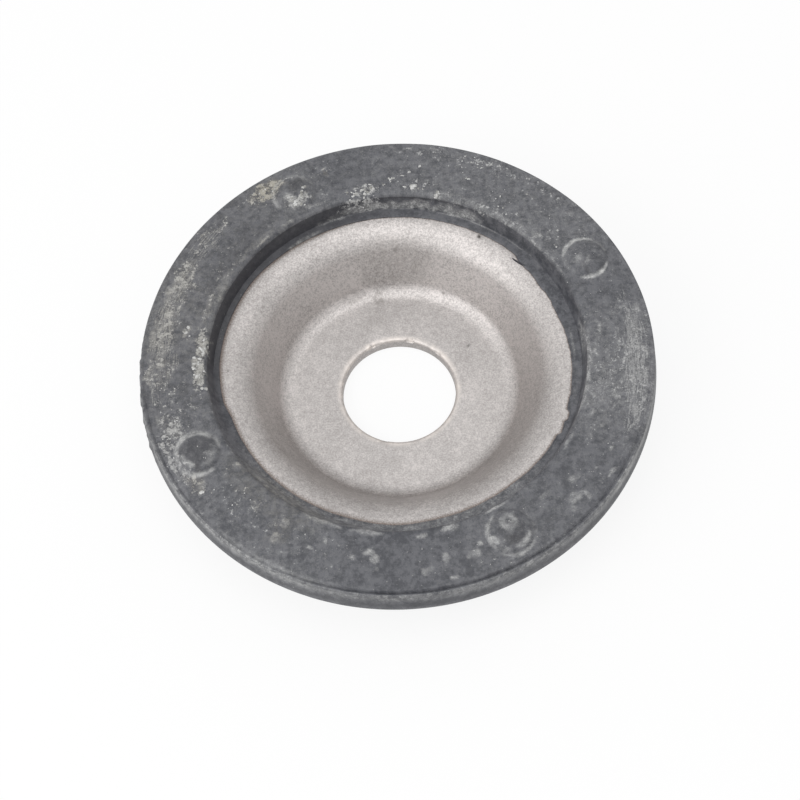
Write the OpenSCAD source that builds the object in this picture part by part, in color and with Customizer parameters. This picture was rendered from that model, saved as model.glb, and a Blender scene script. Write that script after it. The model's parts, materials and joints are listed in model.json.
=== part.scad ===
// Stop washer of a strut mount: a pressed steel dish with a rubber ring moulded over its rim.
// Millimetres, +Z up. The origin is the centre of the flat underside, on the axis of the hole.

/* [Steel dish] */
// Thickness of the steel sheet
sheet_t = 1.75; // [1:0.05:3]
// Diameter of the hole for the damper rod
bore_d = 15; // [10:0.1:20]
// Radius that the punch rolls on the hole's upper edge
bore_roll_r = 0.4; // [0.1:0.05:0.6]
// Diameter of the flat seat round the hole
seat_d = 27.8; // [22:0.1:40]
// Rise from the seat to the level rim
dish_depth = 7.65; // [6:0.05:12]
// Slope of the dish's wall, from level
wall_angle = 60; // [40:1:75]
// Inner radius of the bend between the seat and the wall
foot_bend_r = 2.4; // [1:0.1:3]
// Outer radius of the bend between the wall and the rim
rim_bend_r = 4.5; // [3.5:0.1:8]
// Width of the level rim, from its bend to its edge
rim_w = 7.75; // [7:0.05:15]

/* [Rubber ring] */
// Rubber above the rim
top_cover = 2.6; // [2.2:0.05:6]
// Rubber below the rim
under_cover = 0.6; // [0.5:0.05:3]
// Rubber outside the rim's edge, at the ring's widest
edge_cover = 3; // [2.5:0.05:5]
// Width of the rubber that wraps under the rim, inwards from its edge
under_w = 4.5; // [2:0.1:6]
// Radius on the inner edge of the rubber under the rim
under_edge_r = 0.3; // [0.1:0.05:0.45]
// Width of the thin film of rubber on the steel inside the ring
film_w = 1.3; // [0.5:0.05:2]
// Thickness of that film
film_t = 0.2; // [0.1:0.05:0.4]
// Lean of the ring's inner wall, from upright
mouth_lean = 15; // [0:1:30]
// Radius on the ring's inner upper edge
mouth_edge_r = 0.7; // [0.3:0.05:1.2]

/* [Outer edge of the ring] */
// Lean of the outer wall, from upright: the ring is wider lower down
edge_lean = 9; // [0:0.5:15]
// Radius of the bead along the upper edge
bead_r = 0.25; // [0.15:0.05:0.6]
// Width of the crease between the top face and the bead
crease_w = 0.25; // [0.1:0.05:0.6]
// Depth of that crease
crease_depth = 0.2; // [0.1:0.05:0.5]
// Radius on the lower edge
lower_edge_r = 2; // [0.5:0.1:2.2]

/* [Nubs] */
// Number of nubs on the top face
nub_count = 4; // [3:1:8]
// Diameter of a nub
nub_d = 5.8; // [3:0.1:6.2]
// Height of a nub above the top face
nub_h = 0.8; // [0.4:0.05:1.5]
// How far the nubs stand in from the middle of the top face
nub_inset = 0.35; // [0:0.05:0.5]
// Angle of the first nub from +X
nub_turn = 25; // [0:1:120]

/* [Hidden] */

$fn = 144;
arc_steps = 10;
nub_root = 0.4;

bore_r = bore_d / 2;
seat_r = seat_d / 2;
rim_top = sheet_t + dish_depth;
rim_bottom = rim_top - sheet_t;

// The wall's straight stretch is what the two bends leave of the rise
bend_rise = (foot_bend_r + rim_bend_r) * (1 - cos(wall_angle));
wall_run = (dish_depth - bend_rise) / tan(wall_angle);
level_r = seat_r + (foot_bend_r + rim_bend_r) * sin(wall_angle) + wall_run;
rim_r = level_r + rim_w;

ring_top = rim_top + top_cover;
ring_bottom = rim_bottom - under_cover;
ring_r = rim_r + edge_cover;
under_r = rim_r - under_w;
mouth_foot_r = level_r + film_w;
mouth_foot_z = rim_top + film_t;

// Centres of the ring's rounded edges
mouth_edge_z = ring_top - mouth_edge_r;
mouth_edge_x = mouth_foot_r + (mouth_edge_z - mouth_foot_z) * tan(mouth_lean) + mouth_edge_r / cos(mouth_lean);
lower_edge_x = ring_r - lower_edge_r;
lower_edge_z = ring_bottom + lower_edge_r;

// The outer wall touches the lower edge's rounding and the bead
bead_z = ring_top - bead_r;
edge_run = (bead_z - lower_edge_z) * tan(edge_lean);
bead_x = lower_edge_x - edge_run + (lower_edge_r - bead_r) / cos(edge_lean);
face_r = bead_x - crease_w;

// The nubs stand on the flat top face, a little inside its middle
nub_ring_r = (mouth_edge_x + face_r) / 2 - nub_inset;
nub_dome_r = (nub_d * nub_d / 4 + nub_h * nub_h) / (2 * nub_h);

// Points along an arc, from one angle to another
function arc(x, z, r, from, to) =
    [for (i = [0:arc_steps]) let (a = from + (to - from) * i / arc_steps) [x + r * cos(a), z + r * sin(a)]];

// Half section of the sheet: along the underside from the hole to the rim, and back along the top
module plate_section() {
    foot_z = sheet_t + foot_bend_r;
    bend_z = rim_top - rim_bend_r;
    polygon(concat(
        [[bore_r, 0]],
        arc(seat_r, foot_z, foot_bend_r + sheet_t, -90, wall_angle - 90),
        arc(level_r, bend_z, rim_bend_r - sheet_t, wall_angle + 90, 90),
        [[rim_r, rim_bottom], [rim_r, rim_top]],
        arc(level_r, bend_z, rim_bend_r, 90, wall_angle + 90),
        arc(seat_r, foot_z, foot_bend_r, wall_angle - 90, -90),
        arc(bore_r + bore_roll_r, sheet_t - bore_roll_r, bore_roll_r, 90, 180)
    ));
}

// Half section of the moulding as if it were solid: the sheet is taken out of it afterwards
module ring_outline() {
    mid_sheet = rim_top - sheet_t / 2;
    polygon(concat(
        [[level_r, mid_sheet], [level_r, rim_top], [mouth_foot_r, mouth_foot_z]],
        arc(mouth_edge_x, mouth_edge_z, mouth_edge_r, 180 - mouth_lean, 90),
        [[face_r, ring_top], [face_r + crease_w / 2, ring_top - crease_depth]],
        arc(bead_x, bead_z, bead_r, 90, edge_lean),
        arc(lower_edge_x, lower_edge_z, lower_edge_r, edge_lean, -90),
        arc(under_r + under_edge_r, ring_bottom + under_edge_r, under_edge_r, -90, -180),
        [[under_r, mid_sheet]]
    ));
}

// A low dome with a short root that sinks into the ring
module nub() {
    intersection() {
        translate([0, 0, nub_h - nub_dome_r]) sphere(r = nub_dome_r);
        translate([0, 0, -nub_root]) cylinder(d = nub_d, h = nub_root + 2 * nub_h);
    }
}

// Pressed sheet steel, one piece
module dished_plate() {
    color("#b9b4af") rotate_extrude() plate_section();
}

// Black rubber, moulded and bonded over the plate's rim
module rubber_ring() {
    color("#5c5d61") {
        rotate_extrude() {
            difference() {
                ring_outline();
                plate_section();
            }
        }
        for (i = [0:nub_count - 1])
            rotate(nub_turn + 360 / nub_count * i) translate([nub_ring_r, 0, ring_top]) nub();
    }
}

dished_plate();
rubber_ring();
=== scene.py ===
import json
import math

import bmesh
import bpy
import numpy as np
from mathutils import Matrix, Vector


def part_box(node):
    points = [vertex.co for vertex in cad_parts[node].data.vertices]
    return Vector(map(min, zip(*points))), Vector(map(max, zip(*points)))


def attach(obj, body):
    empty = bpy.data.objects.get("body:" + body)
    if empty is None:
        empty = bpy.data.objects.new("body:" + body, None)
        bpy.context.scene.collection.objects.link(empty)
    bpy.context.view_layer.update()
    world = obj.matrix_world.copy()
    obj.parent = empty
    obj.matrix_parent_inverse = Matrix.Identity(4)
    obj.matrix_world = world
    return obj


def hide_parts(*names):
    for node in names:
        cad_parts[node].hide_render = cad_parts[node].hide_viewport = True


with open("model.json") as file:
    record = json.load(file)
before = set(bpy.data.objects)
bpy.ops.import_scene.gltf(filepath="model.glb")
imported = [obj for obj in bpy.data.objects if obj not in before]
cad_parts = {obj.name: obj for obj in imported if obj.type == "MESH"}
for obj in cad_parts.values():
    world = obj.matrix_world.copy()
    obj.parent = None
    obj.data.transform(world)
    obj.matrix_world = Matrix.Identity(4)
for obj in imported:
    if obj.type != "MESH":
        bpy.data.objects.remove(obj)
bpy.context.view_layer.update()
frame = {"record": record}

# Dished plate: one piece of sheet steel, blanked, punched and pressed into a dish, then blasted matte.
# Its level rim is buried in the rubber ring, which is vulcanised to it over a brown primer.
MM = 0.001
PLATE_SEGMENTS = 720
PLATE_SHARP_ANGLE = 40
mounts = {mount["name"]: mount for mount in frame["record"]["mounts"]}
plate_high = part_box("dished_plate")[1]
sheet_t = mounts["nut_seat"]["pos_m"][2]
bore_r = mounts["rod_hole"]["dims"]["r_mm"] * MM
bore_roll_r = 0.4 * MM
bore_burr_r = 0.08 * MM
seat_r = 13.9 * MM
wall_slope = 60
foot_bend_r = 2.4 * MM
rim_bend_r = 4.5 * MM
rim_r = plate_high.x
rim_top = plate_high.z
rim_bottom = rim_top - sheet_t
bend_sum = foot_bend_r + rim_bend_r
wall_rise = rim_bottom - bend_sum * (1 - math.cos(math.radians(wall_slope)))
wall_run = wall_rise / math.tan(math.radians(wall_slope))
level_r = seat_r + bend_sum * math.sin(math.radians(wall_slope)) + wall_run
foot_z = sheet_t + foot_bend_r
bend_z = rim_top - rim_bend_r

# Where the rubber's film ends on the steel: angle in degrees and radius in millimetres
film_edge_stations = [
    (0, 22.28), (5, 22.15), (10, 22.04), (15, 21.78), (19, 21.92), (22, 21.94), (27, 21.74), (32, 21.9),
    (37, 21.92), (39, 21.98), (41.2, 22.34), (44, 22.42), (54, 22.4), (62, 22.33), (100, 22.34),
    (112, 22.4), (126, 22.62), (142, 22.95), (152, 22.9), (175, 22.92), (190, 22.75), (193, 22.5),
    (196, 22.28), (230, 22.25), (252, 22.3), (265, 22.54), (277, 22.34), (305, 22.33), (318, 22.6),
    (328, 22.66), (329.5, 23.02), (333.5, 22.78), (334.5, 23.06), (337, 22.98), (338, 22.52),
    (352, 22.42),
]
# The film is torn most towards this turn, in degrees, and by about this much, in millimetres
film_torn_turn = 15
film_tear = 0.06
# How far the brown primer shows past the film: angle in degrees and width in millimetres
primer_stations = [
    (0, 0.3), (100, 0.25), (118, 0.7), (150, 0.95), (185, 0.9), (215, 0.8), (265, 0.85), (295, 0.7),
    (330, 0.5),
]


def wander(angle, seed, slowest, fastest):
    """Seeded smooth wandering round the part, about -1 to 1: a sum of whole waves between two counts."""
    draw = np.random.default_rng(seed)
    total = np.zeros_like(angle)
    power = 0.0
    for waves in range(slowest, fastest + 1):
        weight = waves ** -0.7 * draw.uniform(0.5, 1)
        total += weight * np.sin(waves * angle + draw.uniform(0, 2 * math.pi))
        power += weight ** 2
    return total / math.sqrt(2 * power)


def read_round(stations, angle):
    """A value that is given at stations round the part, in degrees, read at angles in radians."""
    turns, values = zip(*stations)
    return np.interp(np.degrees(angle), turns, values, period=360)


def film_edge(angle):
    """Radius at which the rubber's film ends, with small tears, for angles in radians."""
    torn = np.clip(np.cos(angle - math.radians(film_torn_turn)), 0.25, 1)
    tears = film_tear * torn * wander(angle, seed=3, slowest=20, fastest=170)
    return (read_round(film_edge_stations, angle) + tears) * MM


def plate_top(radius):
    """Height of the plate's upper face at the rim's bend and beyond it."""
    inside = np.clip(level_r - radius, 0, rim_bend_r)
    return bend_z + np.sqrt(rim_bend_r ** 2 - inside ** 2)


def stretch(start, end, steps):
    """Points along a straight stretch of a section, both ends included."""
    return np.linspace(start, end, steps + 1)


def bend(centre_r, centre_z, radius, start, end, steps):
    """Points along a rounded stretch of a section, by angle in degrees."""
    turns = np.radians(np.linspace(start, end, steps + 1))
    return np.column_stack((centre_r + radius * np.cos(turns), centre_z + radius * np.sin(turns)))


def new_mesh(name, corners, edges=(), faces=()):
    """A mesh made from its corners, edges and faces."""
    mesh = bpy.data.meshes.new(name)
    mesh.from_pydata(corners, edges, faces)
    return mesh


def section_mesh(name, stretches):
    """A closed half section as a mesh of edges, laid as the turning tree needs it: radius, minus height.
    Each point keeps the number of its stretch as its zone."""
    corners, zones = [], []
    same_point = 1e-7
    for zone, points in enumerate(stretches.values()):
        for r, z in points:
            if not corners or math.dist((r, -z, 0), corners[-1]) > same_point:
                corners.append((r, -z, 0))
                zones.append(zone)
    if math.dist(corners[0], corners[-1]) < same_point:
        corners.pop()
        zones.pop()
    mesh = new_mesh(name, corners, edges=[(i, (i + 1) % len(corners)) for i in range(len(corners))])
    store(mesh, "zone", np.array(zones))
    return mesh


def store(mesh, name, values):
    """Keeps a named number on each of the mesh's points."""
    mesh.attributes.new(name, "FLOAT", "POINT").data.foreach_set("value", values.astype(np.float32))


def points_in(mesh, stretches, *names):
    """Which of a turned mesh's points come from the named stretches of its section."""
    zones = np.zeros(len(mesh.vertices), np.float32)
    mesh.attributes["zone"].data.foreach_get("value", zones)
    order = list(stretches)
    return np.isin(np.rint(zones), [order.index(name) for name in names])


def feed(tree, socket, value):
    """Links a socket to another one or to a node's first output, or sets it to a constant."""
    if isinstance(value, bpy.types.Node):
        value = value.outputs[0]
    if isinstance(value, bpy.types.NodeSocket):
        tree.links.new(value, socket)
    else:
        socket.default_value = value


def node(tree, kind, inputs=None, **settings):
    """Adds a node to a tree, with its settings, and sets or links its inputs by name or number."""
    made = tree.nodes.new(kind)
    for name, value in settings.items():
        setattr(made, name, value)
    for name, value in (inputs or {}).items():
        feed(tree, made.inputs[name], value)
    return made


def math_of(tree, operation, *values):
    """One step of arithmetic in a tree."""
    return node(tree, "ShaderNodeMath", dict(enumerate(values)), operation=operation)


def new_steps(name, inputs):
    """An empty Geometry Nodes tree with named inputs, and its input and output sockets."""
    tree = bpy.data.node_groups.new(name, "GeometryNodeTree")
    for label, kind in inputs:
        tree.interface.new_socket(label, in_out="INPUT", socket_type="NodeSocket" + kind)
    tree.interface.new_socket("Geometry", in_out="OUTPUT", socket_type="NodeSocketGeometry")
    return tree, tree.nodes.new("NodeGroupInput").outputs, tree.nodes.new("NodeGroupOutput").inputs


def finished(tree, geometry, finish, end):
    """Ends a Geometry Nodes tree: instances made real, and the finish set."""
    real = node(tree, "GeometryNodeRealizeInstances", {"Geometry": geometry})
    coated = node(tree, "GeometryNodeSetMaterial", {"Geometry": real, "Material": finish})
    feed(tree, end["Geometry"], coated)


def new_object(name, data):
    """A new object in the scene."""
    made = bpy.data.objects.new(name, data)
    bpy.context.scene.collection.objects.link(made)
    return made


def shaped(name, start_mesh, tree, values):
    """A plain mesh object made from a start mesh by a Geometry Nodes tree with the given inputs."""
    maker = new_object(name + "_maker", start_mesh)
    steps = maker.modifiers.new("steps", "NODES")
    steps.node_group = tree
    for item in tree.interface.items_tree:
        if item.in_out == "INPUT" and item.name in values:
            steps[item.identifier] = values[item.name]
    evaluated = maker.evaluated_get(bpy.context.evaluated_depsgraph_get())
    mesh = bpy.data.meshes.new_from_object(evaluated)
    bpy.data.objects.remove(maker)
    mesh.name = name
    return new_object(name, mesh)


# Turns a half section about the Z axis. The path is a unit circle, so the section stands one unit in
turned_steps, given, end = new_steps("turned_section", [
    ("Section", "Geometry"), ("Segments", "Int"), ("Finish", "Material")])
outline = node(turned_steps, "GeometryNodeMeshToCurve", {"Mesh": given["Section"]})
placed = node(turned_steps, "GeometryNodeTransform", {"Geometry": outline, "Translation": (-1, 0, 0)})
path = node(turned_steps, "GeometryNodeCurvePrimitiveCircle", {
    "Resolution": given["Segments"], "Radius": 1})
swept = node(turned_steps, "GeometryNodeCurveToMesh", {"Curve": path, "Profile Curve": placed})
smooth = node(turned_steps, "GeometryNodeSetShadeSmooth", {"Geometry": swept})
finished(turned_steps, smooth, given["Finish"], end)


def mesh_points(mesh):
    """The mesh's points as rows of x, y and z, with their angles and radii about the Z axis."""
    points = np.zeros(len(mesh.vertices) * 3, np.float32)
    mesh.vertices.foreach_get("co", points)
    points = points.reshape(-1, 3).astype(float)
    return points, np.arctan2(points[:, 1], points[:, 0]), np.hypot(points[:, 0], points[:, 1])


def move_points(mesh, angle, radius, height):
    """Moves the mesh's points to new radii and heights at their angles."""
    points = np.column_stack((radius * np.cos(angle), radius * np.sin(angle), height))
    mesh.vertices.foreach_set("co", points.astype(np.float32).ravel())
    mesh.update()


def rippled(angle, radius, seed):
    """Seeded uneven shifts of points, in millimetres: a sum of ripples that cross at all headings."""
    ripples, shortest, longest, depth = 14, 0.7, 3.5, 0.05
    draw = np.random.default_rng(seed)
    x, y = radius * np.cos(angle) / MM, radius * np.sin(angle) / MM
    total = np.zeros_like(angle)
    for _ in range(ripples):
        heading, length = draw.uniform(0, 2 * math.pi), draw.uniform(shortest, longest)
        place = (x * math.cos(heading) + y * math.sin(heading)) * 2 * math.pi / length
        total += depth * length ** 0.5 * np.sin(place + draw.uniform(0, 2 * math.pi))
    return total


def unit(values):
    """Values held between 0 and 1."""
    return np.clip(values, 0, 1)


def marked(angle, radius, marks):
    """How far marks cover each point: angle in degrees, radius, half length, half width (mm), strength.
    Their outlines are uneven."""
    cover = np.zeros_like(angle)
    shift_along, shift_across = rippled(angle, radius, seed=21), rippled(angle, radius, seed=22)
    for mark_turn, place, half_long, half_wide, strength in marks:
        off = np.mod(np.degrees(angle) - mark_turn + 180, 360) - 180
        along = (np.radians(off) * place + shift_along * min(half_long, 1)) / half_long
        across = (radius / MM - place + shift_across * min(half_wide, 1)) / half_wide
        core = unit(1 - along ** 2 - across ** 2)
        cover = np.maximum(cover, strength * core * (2 - core))
    return cover


def value_of(tree, name):
    """The mesh's named number, for a material."""
    return node(tree, "ShaderNodeAttribute", attribute_name=name).outputs["Fac"]


def grain_of(tree, coords, size, detail=2.0, roughness=0.6):
    """Noise whose features are about that size in millimetres."""
    return node(tree, "ShaderNodeTexNoise", {
        "Vector": coords, "Scale": 1 / (size * MM), "Detail": detail, "Roughness": roughness})


def sum_of(tree, first, factor, second):
    """first * factor + second."""
    return math_of(tree, "MULTIPLY_ADD", first, factor, second)


def product_of(tree, first, second):
    """first * second."""
    return math_of(tree, "MULTIPLY", first, second)


def step_of(tree, value, low, high, bottom=0.0, top=1.0):
    """A smooth step from bottom to top as the value goes from low to high."""
    return node(tree, "ShaderNodeMapRange", {
        "Value": value, "From Min": low, "From Max": high, "To Min": bottom, "To Max": top},
        interpolation_type="SMOOTHSTEP")


def blend_of(tree, share, first, second):
    """Two colours mixed by a share."""
    mix = node(tree, "ShaderNodeMix", data_type="RGBA")
    colours = [socket for socket in mix.inputs if socket.type == "RGBA"]
    for socket, value in zip([mix.inputs[0], *colours], [share, first, second]):
        feed(tree, socket, value)
    return [socket for socket in mix.outputs if socket.type == "RGBA"][0]


def new_finish(name):
    """A node material: itself, its tree, its Principled shader and its Object coordinates."""
    finish = bpy.data.materials.new(name)
    finish.use_nodes = True
    tree = finish.node_tree
    return finish, tree, tree.nodes["Principled BSDF"], node(tree, "ShaderNodeTexCoord").outputs["Object"]


def coat(tree, shader, colour, roughness, relief, strength, depth):
    """Gives a finish its colour, roughness and fine relief, whose depth is in millimetres."""
    bump = node(tree, "ShaderNodeBump", {"Height": relief, "Strength": strength, "Distance": depth * MM})
    feed(tree, shader.inputs["Base Color"], colour)
    feed(tree, shader.inputs["Roughness"], roughness)
    feed(tree, shader.inputs["Normal"], bump)


# Blasted steel: a warm grey metal with fine grain, cloudy tone, stains, pits and a line of brown primer,
# with painted light: the wall painted paler away from the near side, and a painted highlight on the
# hole's rolled edge
steel_dark = (0.316, 0.295, 0.286, 1)
steel_mid = (0.427, 0.407, 0.397, 1)
steel_glint = (0.585, 0.551, 0.537, 1)
stain_tone = (0.19, 0.178, 0.166, 1)
primer_tone = (0.105, 0.074, 0.058, 1)
pit_tone = (0.05, 0.045, 0.04, 1)
# Painted highlight colour for the hole's rolled edge, also used for its scraped chips
rim_shine_tone = (0.68, 0.63, 0.59, 1)
edge_tint = (0.85, 0.83, 0.82, 1)
steel, tree, shader, coords = new_finish("blasted_steel")
grain = grain_of(tree, coords, size=0.2)
mottle = grain_of(tree, coords, size=0.7, detail=3)
cloud = grain_of(tree, coords, size=6, roughness=0.5)
mottle_share = 0.45
cloud_share = 0.3
peel_depth = 0.9
painted_wall_lift = 0.17
even_tone = sum_of(tree, mottle, mottle_share, sum_of(tree, cloud, cloud_share, grain))
peel_grain = grain_of(tree, coords, size=0.4, detail=3, roughness=0.7)
peel = sum_of(tree, peel_grain, peel_depth, -peel_depth / 2)
coarse_tone = sum_of(tree, value_of(tree, "peel"), peel, even_tone)
# Painted light: the wall's tone is lifted by the painted wall light
tone = sum_of(tree, value_of(tree, "painted_wall_light"), painted_wall_lift, coarse_tone)
ramp = node(tree, "ShaderNodeValToRGB", {"Fac": step_of(tree, tone, low=0.48, high=1.28)})
ramp.color_ramp.elements[0].color = steel_dark
ramp.color_ramp.elements[1].color = steel_glint
ramp.color_ramp.elements.new(0.5).color = steel_mid
stain_cover = product_of(tree, value_of(tree, "stain"), step_of(tree, mottle, low=0.3, high=0.7))
stained = blend_of(tree, stain_cover, ramp, stain_tone)
primer_reach = sum_of(tree, grain, 0.6, value_of(tree, "film_gap"))
primer_cover = step_of(tree, primer_reach, low=0.15, high=1.2, bottom=0.9, top=0)
primed = blend_of(tree, primer_cover, stained, primer_tone)
# Painted highlight on the hole's rolled edge, with scraped chips paler still
rim_shined = blend_of(tree, value_of(tree, "rim_shine_and_chips"), primed, rim_shine_tone)
pitted = blend_of(tree, value_of(tree, "pit"), rim_shined, pit_tone)
shader.inputs["Metallic"].default_value = 1.0
shader.inputs["Specular Tint"].default_value = edge_tint
steel_roughness = sum_of(tree, grain, 0.2, 0.45)
coat(tree, shader, pitted, steel_roughness, relief=grain, strength=0.35, depth=0.03)

foot = bend(seat_r, foot_z, foot_bend_r, -90, wall_slope - 90, 9)
rim_bend = bend(level_r, bend_z, rim_bend_r, wall_slope + 90, 90, 18)
plate_stretches = {
    "hole": stretch((bore_r, bore_burr_r), (bore_r, sheet_t - bore_roll_r), 4),
    "roll": bend(bore_r + bore_roll_r, sheet_t - bore_roll_r, bore_roll_r, 180, 90, 5),
    "seat": stretch((bore_r + bore_roll_r, sheet_t), (seat_r, sheet_t), 12),
    "foot": foot,
    "wall": stretch(foot[-1], rim_bend[0], 10),
    "bend": rim_bend,
    "rim": stretch((level_r, rim_top), (rim_r, rim_top), 8),
    "edge": stretch((rim_r, rim_top), (rim_r, rim_bottom), 2),
    "under_rim": stretch((rim_r, rim_bottom), (level_r, rim_bottom), 5),
    "under_bend": bend(level_r, bend_z, rim_bend_r - sheet_t, 90, wall_slope + 90, 12),
    "under_foot": bend(seat_r, foot_z, foot_bend_r + sheet_t, wall_slope - 90, -90, 12),
    "underside": stretch((seat_r, 0), (bore_r + bore_burr_r, 0), 8),
    "burr": bend(bore_r + bore_burr_r, bore_burr_r, bore_burr_r, -90, -180, 2),
}
plate = shaped("steel_plate", section_mesh("plate_section", plate_stretches), turned_steps,
               {"Segments": PLATE_SEGMENTS, "Finish": steel})
points, angle, radius = mesh_points(plate.data)
on_top = points_in(plate.data, plate_stretches, "roll", "seat", "foot", "wall", "bend", "rim")

# The punched hole's upper edge is nicked in places, and the pressing is not quite even.
# Marks: angle in degrees, radius, half length round the part, half width (mm), strength or depth (mm)
bore_nicks = [
    (112, 7.6, 1.1, 0.4, 0.13), (76, 7.6, 0.6, 0.4, 0.12), (44, 7.6, 0.5, 0.4, 0.1),
    (250, 7.6, 0.8, 0.4, 0.06),
]
press_unevenness = 0.02 * MM
rolled = points_in(plate.data, plate_stretches, "roll")
in_foot = points_in(plate.data, plate_stretches, "foot")
nick = marked(angle, radius, bore_nicks) * MM * rolled
uneven = press_unevenness * wander(angle, seed=7, slowest=2, fastest=9) * in_foot
move_points(plate.data, angle, radius + nick + uneven, points[:, 2] - 0.5 * nick)
stains = [
    (88, 17.6, 5.5, 2.6, 0.4), (98, 17, 2, 1.4, 0.4), (104, 11, 2.2, 1.2, 0.35),
    (262, 10.2, 1.6, 0.6, 0.3), (87.5, 18.9, 0.85, 0.6, 0.65), (97, 14.4, 0.8, 1.3, 0.75),
    (110, 15.3, 1.8, 0.8, 0.5), (98, 12.6, 0.8, 1.2, 0.4),
]
pits = [
    (56.3, 21.87, 0.28, 0.28, 1), (63.3, 15.6, 0.28, 0.22, 0.6), (31.4, 11.4, 0.22, 0.22, 0.6),
    (178, 21.84, 0.25, 0.25, 0.6),
]
chips = [
    (119, 7.7, 0.5, 0.4, 1), (112, 7.65, 0.4, 0.3, 0.9), (75, 7.7, 0.35, 0.35, 0.8),
    (36, 7.8, 0.35, 0.3, 0.8),
]
# Painted highlight: the hole's rolled edge is painted paler all round, and the scraped chips are added to
# it
roll_shine = 0.6 * rolled * (0.8 + 0.4 * wander(angle, seed=8, slowest=5, fastest=60))
store(plate.data, "rim_shine_and_chips", np.maximum(roll_shine, marked(angle, radius, chips) * on_top))
store(plate.data, "stain", marked(angle, radius, stains) * on_top)
store(plate.data, "pit", marked(angle, radius, pits) * on_top)

# The sheet's skin is coarser where the press stretched it, most of all on the far side, towards +Y
least_peel = 0.35
far_side = unit(np.sin(angle))
pressed = points_in(plate.data, plate_stretches, "foot", "wall", "bend")
store(plate.data, "peel", pressed * (least_peel + (1 - least_peel) * far_side))

# Painted light: the dish wall is painted a little paler, except on the near side, towards -Y
wall_middle_r = 17.2 * MM
wall_reach = 2.6 * MM
off_wall = (radius - wall_middle_r) / wall_reach
off_near_side = unit(1 + 1.5 * np.sin(angle))
store(plate.data, "painted_wall_light", on_top * np.exp(-off_wall ** 2) * off_near_side)

# The primer fades over its width inwards from the film's edge
primer_w = read_round(primer_stations, angle) * MM
past_primer = 5
store(plate.data, "film_gap", np.where(on_top, (film_edge(angle) - radius) / primer_w, past_primer))
plate.data.set_sharp_from_angle(angle=math.radians(PLATE_SHARP_ANGLE))
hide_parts("dished_plate")
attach(plate, "root")

# Rubber ring: black rubber moulded round the plate's rim and bonded to it, with four low nubs on top.
# It is dusty and scuffed, its groove is part filled, and a torn film of flash runs in on the steel.
RING_SEGMENTS = 880
RING_SHARP_ANGLE = 60
ring_low, ring_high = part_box("rubber_ring")
ring_top = mounts["stop_face"]["pos_m"][2]
ring_bottom = ring_low.z
ring_r = ring_high.x
film_w = 1.3 * MM
film_t = 0.2 * MM
film_lip_t = 0.1 * MM
bite = 0.02 * MM
mouth_lean = 15
mouth_edge_r = 0.7 * MM
mouth_foot_r = level_r + film_w
mouth_foot_z = rim_top + film_t
mouth_edge_z = ring_top - mouth_edge_r
mouth_slope = math.radians(mouth_lean)
mouth_run = (mouth_edge_z - mouth_foot_z) * math.tan(mouth_slope)
mouth_edge_x = mouth_foot_r + mouth_run + mouth_edge_r / math.cos(mouth_slope)
edge_lean = 9
bead_r = 0.25 * MM
bead_z = ring_top - bead_r
lower_edge_r = 2 * MM
lower_edge_x = ring_r - lower_edge_r
lower_edge_z = ring_bottom + lower_edge_r
edge_slope = math.radians(edge_lean)
edge_run = (bead_z - lower_edge_z) * math.tan(edge_slope)
bead_x = lower_edge_x - edge_run + (lower_edge_r - bead_r) / math.cos(edge_slope)
crease_half = 0.3 * MM
crease_depth = 0.28 * MM
crease_x = bead_x - crease_half
under_w = 4.5 * MM
under_r = rim_r - under_w
under_edge_r = 0.3 * MM
nub_count = 4
nub_turn = 25.2
nub_circle_r = 28.1 * MM
nub_r = 2.9 * MM
nub_h = ring_high.z - ring_top
nub_flatness = 3.6
nub_shoulder = 0.75

# Black rubber: dark blue grey and mottled, with a haze of dust, crisp grains, scuffs and bare dark spots,
# and painted shade on the nubs, in the groove and between dust; pale arcs on the nubs are partly painted
# highlight
rubber_tone = (0.036, 0.038, 0.047, 1)
rubber_worn = (0.099, 0.101, 0.113, 1)
# The dark bare tone also serves as painted shade
bare_and_shade_tone = (0.022, 0.022, 0.028, 1)
dust_dull = (0.28, 0.28, 0.28, 1)
dust_pale = (0.56, 0.56, 0.55, 1)
dust_tan = (0.43, 0.4, 0.33, 1)
rubber, tree, shader, coords = new_finish("dusty_rubber")
fine = grain_of(tree, coords, size=0.2)
patch = grain_of(tree, coords, size=0.75, detail=3)
rubber_mottle = grain_of(tree, coords, size=1.4, detail=5, roughness=0.8)
runs = node(tree, "ShaderNodeAttribute", attribute_name="run").outputs["Vector"]
lines = node(tree, "ShaderNodeTexNoise", {
    "Vector": runs, "Scale": 1.0, "Detail": 3.0, "Roughness": 0.6, "Distortion": 0.4})
bare_and_shade_here = value_of(tree, "bare_and_shade")
grit_here = value_of(tree, "grit")
streak_here = value_of(tree, "streak")


def peaks_of(tree, noise, amount, start, drop, width, top=1.0):
    """A noise's peaks above a start level, which the amount lowers by the drop.
    They reach the top over a width."""
    start_here = sum_of(tree, amount, -drop, start)
    return step_of(tree, noise, start_here, sum_of(tree, start_here, 1.0, width), bottom=0.0, top=top)


def most_of(tree, *values):
    """The largest of several values."""
    most = values[0]
    for value in values[1:]:
        most = math_of(tree, "MAXIMUM", most, value)
    return most


# Caked dust is the peaks of a rough noise, and painted shade in the gaps beside it is the peaks of
# another
crust = grain_of(tree, coords, size=0.65, detail=4, roughness=0.72)
crust_cover = peaks_of(tree, crust, grit_here, start=0.68, drop=0.33, width=0.12, top=0.85)
specks = grain_of(tree, coords, size=0.3, detail=3)
speck_cover = peaks_of(tree, specks, grit_here, start=0.69, drop=0.2, width=0.09, top=0.65)
hollow_size = 0.6 * MM
hollows = node(tree, "ShaderNodeTexNoise", {
    "Vector": coords, "Scale": 1 / hollow_size, "Detail": 3.0, "Roughness": 0.65}, noise_dimensions="4D")
hollows.inputs["W"].default_value = 3.0
gap_shade = peaks_of(tree, hollows, grit_here, start=0.65, drop=0.24, width=0.12, top=0.8)

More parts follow.
